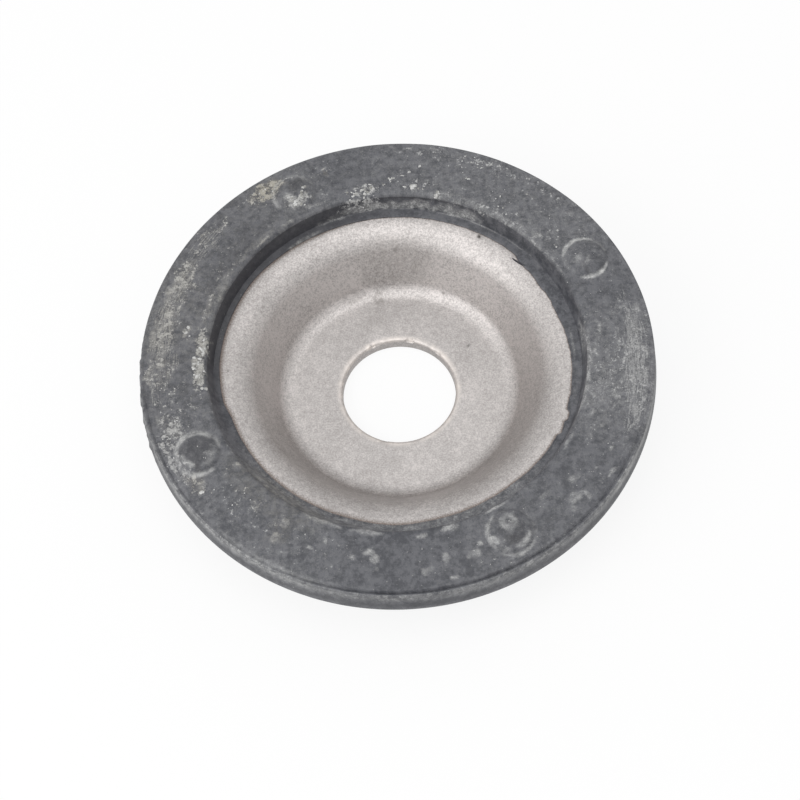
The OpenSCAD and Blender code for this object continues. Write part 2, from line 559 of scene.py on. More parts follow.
worn_body = blend_of(tree, step_of(tree, rubber_mottle, low=0.39, high=0.61), rubber_tone, rubber_worn)
# Painted shade: the dark bare tone goes where shade falls, on the nubs' near flanks, in the groove and in
# the gaps beside the dust
body = blend_of(tree, most_of(tree, bare_and_shade_here, gap_shade), worn_body, bare_and_shade_tone)
speckle = sum_of(tree, fine, 0.6, sum_of(tree, patch, 1.2, -0.4))
haze_level = product_of(tree, value_of(tree, "haze"), sum_of(tree, bare_and_shade_here, -0.35, 1.0))
haze_speckle = step_of(tree, speckle, low=0.2, high=0.85, bottom=0.15, top=1.0)
haze_cover = product_of(tree, haze_level, haze_speckle)
streak_lines = sum_of(tree, fine, 0.6, sum_of(tree, lines, 1.4, -0.5))
streak_share = peaks_of(tree, streak_lines, streak_here, start=0.7, drop=0.55, width=0.32)
streak_cover = product_of(tree, streak_share, sum_of(tree, streak_here, 0.55, 0.37))
thickest_dust = 0.92
all_dust = most_of(tree, haze_cover, crust_cover, streak_cover, speck_cover)
dust_cover = math_of(tree, "MINIMUM", all_dust, thickest_dust)
dust_light = step_of(tree, sum_of(tree, fine, 0.5, crust), low=0.65, high=1.05)
grey_dust = blend_of(tree, dust_light, dust_dull, dust_pale)
dust = blend_of(tree, product_of(tree, value_of(tree, "warm"), 0.8), grey_dust, dust_tan)
smear_speckle = step_of(tree, speckle, low=0.3, high=0.75, bottom=0.4, top=1.05)
smear_and_highlight_cover = product_of(tree, value_of(tree, "smear_and_highlight"), smear_speckle)
# Pale smears: dust, with painted highlight in the arcs on the nubs
dusted = blend_of(tree, smear_and_highlight_cover, blend_of(tree, dust_cover, body, dust), dust_pale)
dull_where_dusty = step_of(tree, dust_cover, low=0, high=0.7, bottom=0.5, top=0.85)
dust_relief = sum_of(tree, dust_cover, 0.8, fine)
coat(tree, shader, dusted, dull_where_dusty, relief=dust_relief, strength=0.3, depth=0.04)

# Turns the ring's section and raises the nubs: each point's angle is folded to that of the nearest nub
ring_steps, given, end = new_steps("moulded_ring", [
    ("Section", "Geometry"), ("Segments", "Int"), ("Finish", "Material"), ("Nubs", "Int"),
    ("First Nub", "Float"), ("Nub Circle", "Float"), ("Nub Radius", "Float"), ("Nub Height", "Float")])
turned = node(ring_steps, "GeometryNodeGroup", {}, node_tree=turned_steps)
for label in ("Section", "Segments", "Finish"):
    ring_steps.links.new(given[label], turned.inputs[label])


def worked(operation, *values):
    """One step of arithmetic in the ring's tree."""
    return math_of(ring_steps, operation, *values)


def distance(first, second):
    """The length of a step with two parts at right angles, in the ring's tree."""
    return worked("SQRT", worked("ADD", worked("POWER", first, 2), worked("POWER", second, 2)))


here = node(ring_steps, "GeometryNodeInputPosition")
spot = node(ring_steps, "ShaderNodeSeparateXYZ", {0: here}).outputs
out_from_axis = distance(spot["X"], spot["Y"])
past_first = worked("SUBTRACT", worked("ARCTAN2", spot["Y"], spot["X"]), given["First Nub"])
half_pitch = worked("DIVIDE", math.pi, given["Nubs"])
folded = worked("WRAP", past_first, half_pitch, worked("MULTIPLY", half_pitch, -1))
outward = worked("MULTIPLY", out_from_axis, worked("COSINE", folded))
sideways = worked("MULTIPLY", out_from_axis, worked("SINE", folded))
off_nub = distance(worked("SUBTRACT", outward, given["Nub Circle"]), sideways)
nub_share = worked("DIVIDE", off_nub, given["Nub Radius"])
fall = worked("SUBTRACT", 1, worked("POWER", nub_share, nub_flatness))
dome = worked("POWER", worked("MAXIMUM", fall, 0), nub_shoulder)
face_here = node(ring_steps, "GeometryNodeInputNamedAttribute", {"Name": "face"}, data_type="FLOAT")
rise = worked("MULTIPLY", worked("MULTIPLY", dome, given["Nub Height"]), face_here)
lift = node(ring_steps, "ShaderNodeCombineXYZ", {"Z": rise})
raised = node(ring_steps, "GeometryNodeSetPosition", {"Geometry": turned, "Offset": lift})
finished(ring_steps, raised, given["Finish"], end)

crease_turns = np.linspace(-1, 1, 9)
mouth_edge = bend(mouth_edge_x, mouth_edge_z, mouth_edge_r, 180 - mouth_lean, 90, 7)
bead = bend(bead_x, bead_z, bead_r, 90, edge_lean, 5)
lower_edge = bend(lower_edge_x, lower_edge_z, lower_edge_r, edge_lean, -90, 10)
ring_stretches = {
    "film_lip": stretch((level_r, rim_top - bite), (level_r, rim_top + film_lip_t), 3),
    "film": stretch((level_r, rim_top + film_lip_t), (mouth_foot_r, mouth_foot_z), 8),
    "mouth": stretch((mouth_foot_r, mouth_foot_z), mouth_edge[0], 7),
    "mouth_edge": mouth_edge,
    "face": stretch((mouth_edge_x, ring_top), (crease_x - crease_half, ring_top), 34),
    "crease": np.column_stack((crease_x + crease_half * crease_turns,
                               ring_top - crease_depth * (1 - np.abs(crease_turns)) ** 1.3)),
    "bead": bead,
    "outside": stretch(bead[-1], lower_edge[0], 7),
    "lower_edge": lower_edge,
    "underside": stretch((lower_edge_x, ring_bottom), (under_r + under_edge_r, ring_bottom), 4),
    "under_edge": bend(under_r + under_edge_r, ring_bottom + under_edge_r, under_edge_r, -90, -180, 4),
    "under_rim": stretch((under_r, rim_bottom + bite), (rim_r - bite, rim_bottom + bite), 2),
    "rim_edge": stretch((rim_r - bite, rim_bottom + bite), (rim_r - bite, rim_top - bite), 1),
    "over_rim": stretch((rim_r - bite, rim_top - bite), (level_r, rim_top - bite), 4),
}
ring_section = section_mesh("ring_section", ring_stretches)
store(ring_section, "face", points_in(ring_section, ring_stretches, "face").astype(float))
ring = shaped("rubber_ring_dressed", ring_section, ring_steps, {
    "Segments": RING_SEGMENTS, "Finish": rubber, "Nubs": nub_count, "First Nub": math.radians(nub_turn),
    "Nub Circle": nub_circle_r, "Nub Radius": nub_r, "Nub Height": nub_h})
points, angle, radius = mesh_points(ring.data)
height = points[:, 2].copy()


def in_ring(*names):
    """Which of the ring's points come from the named stretches of its section."""
    return points_in(ring.data, ring_stretches, *names)


# The film follows the plate's bend in to its torn edge
edge = film_edge(angle)
out_share = unit((radius - level_r) / film_w)
up_share = unit((height - rim_top + bite) / (film_lip_t + bite))
in_film = in_ring("film")
in_lip = in_ring("film_lip")
over_rim = in_ring("over_rim")
film_radius = edge + out_share * (mouth_foot_r - edge)
film_ripple = 0.02 * MM * wander(angle, seed=5, slowest=6, fastest=90)
film_cover = film_lip_t + (film_t - film_lip_t) * out_share + film_ripple
radius = np.where(in_film, film_radius, radius)
height = np.where(in_film, plate_top(film_radius) + film_cover, height)
lip_lean = 0.04 * MM
lip_radius = edge + lip_lean * (up_share ** 2 - 1)
lip_cover = film_lip_t + film_ripple + bite
radius = np.where(in_lip, lip_radius, radius)
height = np.where(in_lip, plate_top(lip_radius) - bite + up_share * lip_cover, height)
in_mouth = in_ring("mouth")
up_mouth = unit((height - mouth_foot_z) / (mouth_edge_z - mouth_foot_z))

# Dirt fills the groove's corner on the near left: its depth, and its middle and reach in degrees
fill_depth = 1.4 * MM
fill_turn = 222
fill_reach = 45
turn = np.degrees(angle) % 360
groove_fill = fill_depth * unit(1 - np.abs(turn - fill_turn) / fill_reach) ** 0.5
height = height + groove_fill * (in_film * out_share ** 2 + in_mouth * (1 - up_mouth))
rim_share = (rim_r - radius) / (rim_r - level_r)
radius = np.where(over_rim, rim_r - rim_share * (rim_r - edge), radius)
height = np.where(over_rim, plate_top(radius) - bite, height)

# The outer edge is ragged on the left, and the crease inside its bead is smeared shut in places.
# What is left of the crease: angle in degrees and share of its depth
crease_stations = [
    (0, 0.25), (20, 0.15), (90, 0.1), (160, 0.15), (182, 0.45), (200, 0.6), (214, 0.45), (222, 0.15),
    (238, 0.2), (250, 0.8), (265, 1), (290, 1), (310, 0.7), (330, 0.6), (340, 0.3),
]
in_crease = in_ring("crease")
in_edge = in_ring("bead", "outside")


def swell(middle, reach):
    """1 at a turn in degrees, falling smoothly to 0 at its reach on both sides."""
    off = unit(np.abs(np.mod(turn - middle + 180, 360) - 180) / reach)
    return (1 - off ** 2) ** 2


def broad(middle, reach):
    """1 over the middle part of a stretch of turns, falling smoothly to 0 at its reach on both sides."""
    return unit(2 * swell(middle, reach))


def band(values, middle, half):
    """1 at a middle value, falling away smoothly over a half width on both sides."""
    return np.exp(-((values - middle) / half) ** 2)


torn_depth = 0.17 * MM
edge_wave = 0.015 * MM
face_wave = 0.02 * MM
torn_edge = torn_depth * wander(angle, seed=11, slowest=60, fastest=240) * swell(187, 22)
wavy_edge = edge_wave * wander(angle, seed=12, slowest=3, fastest=40)
filled = 1 - read_round(crease_stations, angle)
radius = radius + in_edge * (torn_edge + wavy_edge)
height = height + in_crease * filled * (ring_top - height)
on_face = in_ring("face", "mouth_edge", "crease", "bead")
height = height + on_face * face_wave * wander(angle, seed=13, slowest=2, fastest=24)
move_points(ring.data, angle, radius, height)

# Dust, grit and scuffs: angle in degrees, radius, half length along the ring, half width (mm), strength
haze_marks = [
    (3.5, 30.4, 2, 1.3, 0.4), (6.5, 31, 1.2, 0.8, 0.4), (8.4, 29.4, 0.35, 1.1, 0.35),
    (3.3, 26, 1.2, 0.28, 0.6), (5.4, 25.5, 0.3, 0.6, 0.35), (1.2, 25.4, 0.3, 0.5, 0.3),
    (3, 24.9, 1.2, 0.25, 0.25), (25.2, 26.9, 0.5, 0.9, 0.35), (24, 28.2, 0.5, 0.4, 0.35),
    (24.7, 29.4, 0.3, 0.2, 0.4), (39, 25.2, 1, 0.6, 0.65), (43.5, 26.3, 1.6, 0.35, 0.35),
    (43, 24.8, 0.8, 0.3, 0.4), (38, 31.3, 1.5, 0.6, 0.2), (32, 24.45, 5, 0.2, 0.35),
    (40, 24.4, 4, 0.3, 0.4), (50, 24.5, 7, 0.6, 0.4), (58, 24.5, 4, 0.8, 0.4), (67, 24.6, 5, 0.8, 0.4),
    (62, 25.2, 2, 0.4, 0.3), (76.5, 31.9, 1, 0.35, 0.45), (87, 32, 0.8, 0.25, 0.4),
    (112.5, 25.2, 1.6, 0.3, 0.5), (117, 27.4, 0.8, 0.9, 0.5), (114, 26.9, 0.6, 0.4, 0.45),
    (122, 24.65, 1.2, 0.25, 0.5), (132, 24.65, 1.8, 0.22, 0.55), (146.5, 25.3, 0.4, 0.2, 0.4),
    (155, 24.6, 3, 0.35, 0.35), (154, 29.6, 2.5, 1, 0.3), (158.5, 31, 2.6, 0.8, 0.5),
    (168, 27.3, 1, 0.5, 0.55), (171, 31.3, 3.5, 0.7, 0.4), (176, 29.9, 3, 0.8, 0.3),
    (173.5, 24.9, 1.2, 0.5, 0.6), (178, 25.6, 1.2, 0.5, 0.6), (183.5, 25, 1.3, 0.6, 0.65),
    (181.5, 31.6, 1.4, 0.5, 0.45), (193, 31.2, 1.2, 0.5, 0.35), (197, 29.6, 1.2, 1, 0.35),
    (213, 29.6, 0.9, 1, 0.45), (214.7, 30.3, 0.35, 0.55, 0.7), (207, 31.4, 1.8, 0.4, 0.4),
    (208.9, 24.4, 0.5, 0.25, 0.5), (213.8, 24.6, 0.6, 0.3, 0.5), (236, 29, 0.7, 0.9, 0.4),
    (236, 26.6, 0.6, 0.8, 0.4), (245, 28.2, 0.6, 0.3, 0.5), (247.5, 26.8, 0.4, 0.4, 0.55),
    (243.5, 26.3, 0.5, 0.6, 0.25), (245, 24.6, 3, 0.35, 0.4), (258, 24.6, 2.2, 0.35, 0.4),
    (255.4, 28, 0.4, 0.35, 0.5), (259.2, 27.2, 0.8, 0.5, 0.5), (260.8, 28, 0.5, 0.5, 0.5),
    (261.5, 29.2, 0.3, 0.3, 0.4), (273, 29.7, 0.9, 0.6, 0.35), (278, 28.5, 0.6, 0.9, 0.45),
    (279, 31, 0.6, 0.25, 0.7), (284.8, 28.8, 0.9, 0.6, 0.4), (287.5, 27.9, 0.5, 0.4, 0.65),
    (290.3, 27.9, 0.3, 0.4, 0.75), (273.4, 25.2, 0.8, 0.35, 0.6), (280.5, 24.8, 1.2, 0.5, 0.55),
    (295.5, 24.55, 2, 0.25, 0.6), (294.5, 31.2, 1.6, 0.3, 0.45), (292, 30, 0.8, 0.3, 0.3),
    (313, 29.6, 1.3, 0.6, 0.4), (310.5, 30.4, 0.5, 0.6, 0.3), (315.4, 30.6, 0.35, 0.7, 0.4),
    (316.8, 27.8, 1, 0.6, 0.25), (308, 26.8, 1.2, 0.4, 0.25), (323.5, 31.2, 0.9, 0.25, 0.55),
    (322.3, 29.3, 0.25, 0.2, 0.5), (328.5, 29.7, 0.5, 0.45, 0.45), (333.4, 27.6, 0.35, 0.4, 0.55),
    (332, 26.6, 1.5, 0.12, 0.3), (336, 25.9, 0.6, 0.35, 0.45), (342, 25.4, 2.5, 0.7, 0.4),
    (340, 31, 2, 0.8, 0.4), (343, 28.2, 0.6, 0.7, 0.45), (357, 25, 0.9, 0.25, 0.55),
    (350, 24.45, 7, 0.3, 0.55), (348, 24.15, 8, 0.18, 0.6), (340, 24.1, 4, 0.2, 0.5),
    (325, 24.7, 1.5, 0.3, 0.3), (165, 30, 6, 2.2, 0.2), (152, 30.3, 3.5, 1.6, 0.22),
    (180, 30, 4, 2.2, 0.18), (195, 30.5, 4, 1.8, 0.2), (135, 25.1, 5, 0.5, 0.25),
    (150, 25.2, 4, 0.6, 0.28), (161, 25.4, 3, 0.6, 0.3), (335, 26.5, 4, 2, 0.16), (345, 27, 4, 2.2, 0.2),
    (35, 25.5, 5, 1.2, 0.17), (48, 25.5, 4, 1.2, 0.16), (68, 31, 5, 1, 0.2),
    (207.4, 26.9, 0.5, 0.8, 0.55), (207, 29.6, 0.3, 0.3, 0.8),
]
# Marks in the groove and on the film
groove_marks = [
    (95, 23.74, 5.5, 0.2, 0.7), (80, 23.78, 5, 0.22, 0.7), (66, 23.78, 4, 0.25, 0.6),
    (107, 23.5, 3, 0.25, 0.45), (38, 23.5, 8, 0.1, 0.4), (62, 23.46, 6, 0.1, 0.5),
    (120, 22.7, 3, 0.35, 0.4), (300, 24, 4, 0.35, 0.5), (270, 23.9, 6, 0.3, 0.3),
    (2, 23.9, 3, 0.25, 0.45), (2, 22.7, 3, 0.2, 0.3),
]
# Even dust round the ring: angle in degrees and strength
dust_stations = [
    (0, 0.3), (8, 0.24), (14, 0.08), (25, 0.16), (35, 0.31), (45, 0.27), (60, 0.26), (75, 0.27),
    (90, 0.19), (103, 0.13), (112, 0.24), (122, 0.2), (133, 0.1), (145, 0.1), (155, 0.2), (170, 0.22),
    (182, 0.1), (195, 0.18), (212, 0.2), (225, 0.14), (240, 0.18), (255, 0.05), (268, 0), (282, 0.06),
    (292, 0.2), (302, 0.15), (315, 0.1), (326, 0.08), (335, 0.28), (345, 0.45), (354, 0.44),
]
# Caked grit, scuffed streaks and yellowish dust, as the marks above
grit_marks = [
    (121, 30.6, 3.6, 1.7, 0.8), (97, 25.4, 3, 1.2, 0.7), (98, 24, 4, 0.6, 0.65), (64, 31, 7, 1.2, 0.52),
    (56, 31, 2, 1.2, 0.5), (115.5, 26.6, 2.4, 1.3, 0.85), (198, 30, 4.5, 2.2, 0.75),
    (203, 31.5, 4, 0.8, 0.75), (210, 30.5, 3, 1.6, 0.7), (174, 25, 3.5, 1.2, 0.85),
    (225, 28, 8, 3.5, 0.3), (155, 29.5, 3.5, 1.8, 0.65), (190, 28, 5, 4, 0.36), (145, 26, 8, 2, 0.35),
    (245, 28, 10, 3.5, 0.24), (168, 30, 5, 2, 0.7), (183, 25.2, 2.5, 1.2, 0.8), (140, 30.5, 6, 1.5, 0.45),
    (352, 29.5, 6, 3, 0.5), (60, 24.6, 8, 0.7, 0.55), (105, 30, 4, 1.5, 0.4), (80, 26, 5, 1.5, 0.45),
    (275, 28, 8, 3, 0.18), (320, 29, 9, 3, 0.22), (40, 29, 9, 3, 0.25), (10, 28, 5, 3, 0.25),
    (80, 31.2, 6, 0.8, 0.6), (48, 31.3, 6, 0.7, 0.5), (153, 30.3, 3.5, 1.6, 0.7), (180, 30.3, 4, 2, 0.6),
    (160, 25.4, 5, 0.8, 0.5),
]
streak_marks = [
    (353, 30.2, 8.5, 2.2, 0.8), (341, 30.8, 5.5, 1.3, 0.72), (358, 28.3, 3, 2, 0.5),
    (3, 30.5, 4, 1.6, 0.72), (9, 30, 3, 1.2, 0.5), (346, 26.6, 4.5, 1.2, 0.5), (168, 30.3, 7, 1.8, 0.68),
    (178, 29.5, 4, 2.5, 0.5), (156, 30, 4, 1.6, 0.66), (185, 31, 4, 1.2, 0.45), (142, 30.5, 5, 2, 0.5),
    (325, 31, 6, 1.2, 0.2),
]
warm_marks = [
    (121, 30.6, 3.5, 1.8, 1), (105.3, 29.6, 0.5, 0.9, 0.8), (236, 28, 1.6, 2.2, 0.6),
    (212, 30, 1.6, 1.6, 0.5), (178, 25.5, 2, 0.9, 0.3), (228, 25, 9, 2.6, 0.7),
]
least_dust = 0.06
groove_shelter = 0.7
mark_gain = 1.9
mark_limit = 1.2
clean_below = 8 * MM
even_dust = least_dust + read_round(dust_stations, angle)
in_groove = in_ring("film_lip", "film", "mouth")
mark_cover = np.where(in_groove, marked(angle, radius, groove_marks), marked(angle, radius, haze_marks))
upper = unit((height - clean_below) / MM)
mark_haze = np.minimum(mark_gain * mark_cover, mark_limit) * upper
near_film_haze = 0.55 * in_groove * broad(262, 72)
haze = np.maximum.reduce([even_dust * (1 - groove_shelter * in_groove), mark_haze, near_film_haze])

# Pale arcs on the nubs, partly soft smears of dust and partly painted highlight on their flanks: nub
# number, bearing from +X, half sweep (degrees), radius, half width (mm), strength
nub_dust_and_highlight_arcs = [
    (0, 118, 62, 2.8, 0.45, 1.12), (0, 298, 50, 2.97, 0.27, 1.19), (0, 45, 40, 2.75, 0.3, 0.28),
    (0, 190, 50, 2.6, 0.3, 0.17), (0, 235, 60, 1, 0.75, 0.2), (1, 90, 70, 2.75, 0.45, 0.42),
    (1, 225, 50, 1.2, 0.6, 0.35), (1, 180, 60, 2.9, 0.4, 0.35), (1, 270, 30, 2.2, 0.4, 0.42),
    (2, 115, 75, 2.65, 0.6, 0.77), (2, 180, 50, 2.6, 0.45, 0.7), (2, 268, 50, 3, 0.36, 0.7),
    (2, 45, 40, 2.85, 0.35, 0.39), (2, 228, 40, 1.9, 0.5, 0.49), (2, 340, 50, 2, 0.5, 0.21),
    (3, 180, 55, 2.8, 0.34, 0.56), (3, 318, 40, 2.25, 0.42, 0.63), (3, 295, 50, 3.05, 0.26, 0.42),
    (3, 211, 16, 2.3, 0.42, 0.77), (3, 20, 50, 2.9, 0.3, 0.17),
]
# Paler band on the outer wall below the bead: angle in degrees and strength
lip_stations = [
    (0, 0.1), (90, 0), (180, 0.1), (205, 0.3), (213, 0.3), (221, 0.17), (229, 0.22), (237, 0.2),
    (245, 0.36), (253, 0.15), (261, 0.02), (269, 0.02), (277, 0.13), (285, 0.2), (293, 0.07), (301, 0.12),
    (309, 0.26), (317, 0.27), (325, 0.62), (333, 0.42), (341, 0.42), (349, 0.15),
]
face_x, face_y = radius * np.cos(angle) / MM, radius * np.sin(angle) / MM
smear_and_highlight = np.zeros_like(angle)
for nub, bearing, sweep, arc_r, arc_w, strength in nub_dust_and_highlight_arcs:
    nub_angle = math.radians(nub_turn + 360 / nub_count * nub)
    off_x = face_x - nub_circle_r / MM * math.cos(nub_angle)
    off_y = face_y - nub_circle_r / MM * math.sin(nub_angle)
    off_bearing = np.mod(np.degrees(np.arctan2(off_y, off_x)) - bearing + 180, 360) - 180
    taper = unit(1 - (off_bearing / sweep) ** 2)
    off_arc = (np.hypot(off_x, off_y) - arc_r) / (arc_w * (0.4 + 0.6 * taper))
    smear_and_highlight = np.maximum(smear_and_highlight, strength * unit(1 - off_arc ** 2) * unit(2 * taper))

# A round smear on the last nub: place of its middle, its radius, half width (mm) and strength
round_smear_turn = math.radians(295.8)
round_smear_out, round_smear_r, round_smear_w, round_smear_cover = 27.1, 0.75, 0.5, 0.45
off_middle = np.hypot(face_x - round_smear_out * math.cos(round_smear_turn),
                      face_y - round_smear_out * math.sin(round_smear_turn))
off_round = (off_middle - round_smear_r) / round_smear_w
smear_and_highlight = np.maximum(smear_and_highlight, round_smear_cover * unit(1 - off_round ** 2))
lip_patchiness = 1 + 0.3 * wander(angle, seed=14, slowest=20, fastest=120)
lip_pale = read_round(lip_stations, angle) * lip_patchiness
on_wall = in_edge * band(height, middle=11.15 * MM, half=0.55 * MM)
top_side = height > 11.6 * MM
face_band = 0.28 * band(radius, middle=32.05 * MM, half=0.4 * MM) * top_side * swell(238, 20)
soft_side = unit(1.5 * swell(285, 75))
smear_and_highlight = np.maximum.reduce([smear_and_highlight, lip_pale * on_wall, face_band, 0.55 * mark_cover * soft_side])
store(ring.data, "smear_and_highlight", smear_and_highlight * upper)

# Paler bands along the outer edge: angle in degrees, reach and strength
lip_foot = 10.4 * MM
on_lip = in_edge * unit((height - lip_foot) / MM)
lip_pale_bands = [
    (228, 32, 1), (323, 9, 1.2), (300, 45, 0.75), (205, 16, 0.8), (345, 16, 0.7), (265, 40, 0.65),
]
for middle, reach, strength in lip_pale_bands:
    haze = np.maximum(haze, on_lip * strength * np.sqrt(swell(middle, reach)))
store(ring.data, "haze", haze)
clean_nub = marked(angle, radius, [(205.2, 28.1, 2.5, 2.5, 1)]) * upper
even_grit = 0.7 * even_dust * (1 - in_groove)
grit = np.maximum(marked(angle, radius, grit_marks) * upper, even_grit) * (1 - clean_nub)
store(ring.data, "grit", grit)
store(ring.data, "streak", marked(angle, radius, streak_marks) * upper)
warm_side = 0.4 * unit(1.5 * swell(155, 55))
store(ring.data, "warm", np.maximum(warm_side, marked(angle, radius, warm_marks)))

# Dark spots, as the marks above: bare rubber, and painted shade on the nubs' near flanks. Painted shade
# also darkens the groove on the far left, a line under the mouth's far edge and the outer wall below the
# lip, and a dark line runs along the film's edge
bare_and_shade_marks = [
    (208.9, 29, 0.8, 0.6, 1), (205.2, 28.1, 2.4, 2.4, 0.75), (294.8, 29.3, 1.2, 0.7, 1),
    (296.8, 28.9, 1, 1.4, 0.6), (114, 29, 1.6, 1.3, 0.9), (21.1, 27.26, 1.2, 0.5, 0.7),
    (25.5, 28.4, 2.4, 2.4, 0.12), (295.2, 28.1, 2.4, 2.4, 0.35), (140, 26.2, 8, 1.8, 0.3),
]
below_lip = in_ring("outside", "lower_edge")
shaded_wall = 0.5 * below_lip * band(height, middle=9.9 * MM, half=0.35 * MM)
far_shade_line = 0.8 * band(height, middle=11.45 * MM, half=0.25 * MM) * broad(105, 55)
groove_shade = in_groove * np.maximum(0.7 * broad(140, 66), far_shade_line)
film_line_w = 0.16 + 0.12 * wander(angle, seed=6, slowest=20, fastest=120)
film_line = 0.8 * (in_film & (out_share < film_line_w)) * broad(275, 115)
bare_and_shade = np.maximum.reduce([marked(angle, radius, bare_and_shade_marks) * upper, groove_shade, shaded_wall, film_line])
store(ring.data, "bare_and_shade", bare_and_shade)

# Scuffs run round the ring: a noise on these coordinates is long round the axis and narrow across
scuff_length = 1.8 * MM
scuff_width = 0.18 * MM
run = np.column_stack((np.cos(angle) * ring_r / scuff_length, np.sin(angle) * ring_r / scuff_length,
                       (radius - height) / scuff_width))
run_values = ring.data.attributes.new("run", "FLOAT_VECTOR", "POINT")
run_values.data.foreach_set("vector", run.astype(np.float32).ravel())
ring.data.set_sharp_from_angle(angle=math.radians(RING_SHARP_ANGLE))
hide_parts("rubber_ring")
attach(ring, "root")

# Torn flash: a sliver of the ring's film, torn loose at one end, that lies on the steel inside the ring.
# It is the same black rubber, and its other end is still part of the film.
# Stations: angle in degrees, radius and half width (mm)
flash_stations = [
    (35.6, 22.15, 0.02), (36.6, 22, 0.13), (37.8, 21.88, 0.15), (39, 21.8, 0.14), (40.2, 21.74, 0.12),
    (41, 21.72, 0.09), (41.5, 21.71, 0.02),
]
flash_t = 0.16 * MM
flash_bareness = 0.85
flash_corners, flash_faces = [], []
for turn_here, middle, half_w in flash_stations:
    flash_r = (middle + half_w * np.array([-1, -0.5, 0.5, 1])) * MM
    lifted = np.array([0, flash_t, flash_t, 0])
    way = math.radians(turn_here)
    for out, up in zip(flash_r, plate_top(flash_r) - bite + lifted):
        flash_corners.append((out * math.cos(way), out * math.sin(way), up))
for row in range(len(flash_stations) - 1):
    for side in range(4):
        first, second = row * 4 + side, row * 4 + (side + 1) % 4
        flash_faces.append((first, first + 4, second + 4, second))
flash_faces.append((0, 1, 2, 3))
flash_faces.append(tuple(range(len(flash_corners) - 1, len(flash_corners) - 5, -1)))
flash_mesh = new_mesh("torn_flash", flash_corners, faces=flash_faces)
flash_shape = bmesh.new()
flash_shape.from_mesh(flash_mesh)
bmesh.ops.recalc_face_normals(flash_shape, faces=flash_shape.faces)
flash_shape.to_mesh(flash_mesh)
flash_shape.free()
flash_mesh.materials.append(rubber)
store(flash_mesh, "bare_and_shade", np.full(len(flash_mesh.vertices), flash_bareness))
flash = new_object("torn_flash", flash_mesh)
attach(flash, "root")

# Dust flakes: crumbs of dried dirt that lie on the rubber in clusters, with a few single specks.
# Each is a flat few-faced crumb, let down on the ring.
# Clusters: angle in degrees, radius, spread round the ring and across it, count, size (mm)
flake_clusters = [
    (112.3, 28, 0.3, 0.3, 3, 0.5), (114.5, 27, 0.8, 0.5, 6, 0.4), (116.5, 26.3, 0.7, 0.5, 7, 0.4),
    (117.3, 27.3, 0.5, 0.6, 5, 0.35), (73.5, 24.6, 0.4, 0.4, 6, 0.5), (81, 25.5, 0.7, 0.4, 7, 0.5),
    (78.3, 25.3, 0.15, 0.15, 2, 0.35), (83.6, 25.4, 0.3, 0.1, 3, 0.3), (96, 25.6, 1.2, 0.5, 12, 0.35),
    (99, 25, 1.3, 0.6, 12, 0.3), (94, 25.2, 0.6, 0.4, 6, 0.4), (97, 24, 2, 0.4, 10, 0.25),
    (82.5, 27.8, 0.4, 0.1, 3, 0.25), (85, 27.2, 0.4, 0.15, 4, 0.25), (87.5, 26.8, 0.5, 0.3, 6, 0.25),
    (89.8, 25.8, 0.4, 0.3, 4, 0.25), (66.3, 28.2, 0.5, 0.05, 5, 0.25), (80, 28.9, 0.1, 0.15, 2, 0.3),
    (44.6, 28.9, 0, 0, 1, 0.3), (50, 29.5, 0, 0, 1, 0.3), (55.7, 27.3, 0, 0, 1, 0.3),
    (56.4, 26.7, 0, 0, 1, 0.3), (54.5, 25.8, 0, 0, 1, 0.3), (53, 25.9, 0, 0, 1, 0.25),
    (51, 25.3, 0, 0, 1, 0.3), (34.8, 27.2, 0, 0, 1, 0.25), (36.4, 27.8, 0, 0, 1, 0.3),
    (32.5, 26, 0, 0, 1, 0.3), (33.4, 26, 0, 0, 1, 0.25), (66, 30.8, 3, 1.2, 22, 0.2),
    (173.5, 24.8, 1, 0.4, 12, 0.4), (178, 25.6, 1, 0.4, 10, 0.45), (183.5, 25, 1, 0.5, 14, 0.45),
    (181, 25.6, 0.8, 0.3, 6, 0.4), (168, 27.3, 0.8, 0.4, 6, 0.35), (121, 30.5, 2.5, 1.3, 40, 0.18),
    (214.7, 30.3, 0.15, 0.3, 4, 0.4), (186, 28.5, 0.6, 0.4, 4, 0.25), (197, 30.2, 4, 1, 28, 0.2),
    (222, 28, 6, 2, 26, 0.16), (0, 28.2, 60, 3.2, 150, 0.1),
]
flake_scatter = 0.6
flake_inner, flake_outer = 23.8, 31.8
flake_shrink = 0.75
flake_tilt, flake_spin = 0.3, 6.28
draw = np.random.default_rng(31)
spots, flake_sizes = [], []
for turn_here, middle, spread_long, spread_wide, count, size in flake_clusters:
    for _ in range(count):
        way = math.radians(turn_here) + draw.normal(0, flake_scatter) * spread_long / middle
        strayed = middle + draw.normal(0, flake_scatter) * spread_wide
        out = min(max(strayed, flake_inner), flake_outer) * MM
        spots.append((out * math.cos(way), out * math.sin(way), ring_high.z))
        flake_sizes.append(flake_shrink * size * MM * draw.uniform(0.4, 1.1))
spot_mesh = new_mesh("flake_spots", spots)
store(spot_mesh, "size", np.array(flake_sizes))

flake_pale = (0.58, 0.58, 0.57, 1)
flake_tan = (0.27, 0.265, 0.25, 1)
dried_dust, tree, shader, coords = new_finish("dried_dust")
crumb_tone = step_of(tree, grain_of(tree, coords, size=0.7), low=0.4, high=0.65)
crumb_colour = blend_of(tree, crumb_tone, flake_pale, flake_tan)
crumb_relief = grain_of(tree, coords, size=0.1)
coat(tree, shader, crumb_colour, roughness=0.9, relief=crumb_relief, strength=0.4, depth=0.03)

